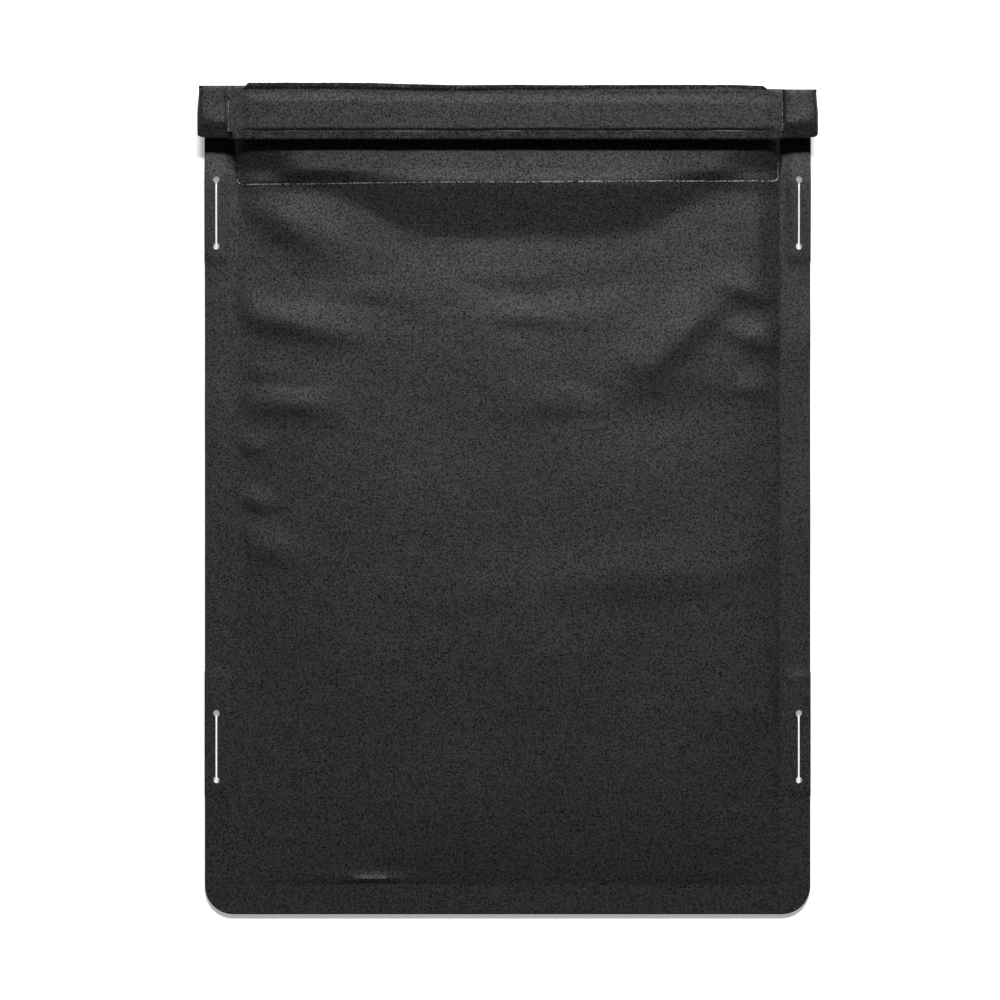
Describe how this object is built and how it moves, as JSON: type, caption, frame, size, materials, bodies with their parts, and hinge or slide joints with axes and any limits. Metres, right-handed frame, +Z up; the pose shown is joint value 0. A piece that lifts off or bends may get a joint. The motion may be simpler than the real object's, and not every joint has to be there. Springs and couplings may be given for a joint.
{
  "type": "film changing bag",
  "caption": "Flat light-tight pouch of black coated fabric with welded edges, lash slits and a fold-over magnetic mouth, for changing film in the dark.",
  "frame": {"origin": "middle of the footprint, on the surface the bag lies on", "axes": "+X across the bag, +Y along the bag towards the fold at its mouth, +Z up through its thickness"},
  "size_m": [0.2568, 0.345, 0.0126],
  "materials": {
    "coated_fabric": "black coated woven fabric, dull satin",
    "patch_fabric": "black coated woven fabric, satin, cut edges",
    "binding": "black coated fabric, turned edge",
    "lining": "matt black blackout lining",
    "seam_film": "black fused film",
    "bar": "dark grey moulded strip",
    "magnet": "nickel plated"
  },
  "bodies": {
    "pouch": {"back_panel": "coated_fabric", "front_panel": "coated_fabric", "back_lining": "lining", "front_lining": "lining", "side_seam_left": "seam_film", "side_seam_right": "seam_film", "bottom_seam": "seam_film", "slit_patch_upper_left": "patch_fabric", "slit_patch_upper_right": "patch_fabric", "slit_patch_lower_left": "patch_fabric", "slit_patch_lower_right": "patch_fabric", "landing_patch": "patch_fabric", "landing_strip": "bar", "landing_magnets": "magnet"},
    "fold_spine": {"fold_outer": "coated_fabric", "fold_inner": "coated_fabric"},
    "front_lip": {"front_lip_panel": "coated_fabric", "front_lip_pocket": "lining", "front_lip_bar": "bar", "front_lip_magnets": "magnet", "front_lip_binding": "binding", "tab_left": "coated_fabric", "tab_right": "coated_fabric"},
    "back_lip": {"back_lip_panel": "coated_fabric", "back_lip_pocket": "lining", "back_lip_bar": "bar", "back_lip_magnets": "magnet", "back_lip_binding": "binding", "flap_patch": "patch_fabric"}
  },
  "joints": [
    {"name": "flap_fold", "type": "hinge", "parent": "pouch", "child": "fold_spine", "pos_m": [0, 0.1725, 0], "axis": [-1, 0, 0], "range_deg": [0, 90]},
    {"name": "flap_turn", "type": "hinge", "parent": "fold_spine", "child": "front_lip", "pos_m": [0, 0.1725, 0.0126], "axis": [-1, 0, 0], "range_deg": [0, 45]},
    {"name": "mouth", "type": "hinge", "parent": "front_lip", "child": "back_lip", "pos_m": [0, 0.1725, 0.0126], "axis": [-1, 0, 0], "range_deg": [0, 45]}
  ],
  "couplings": [
    {"joint": "flap_turn", "follows": "flap_fold", "ratio": 0.5}
  ]
}
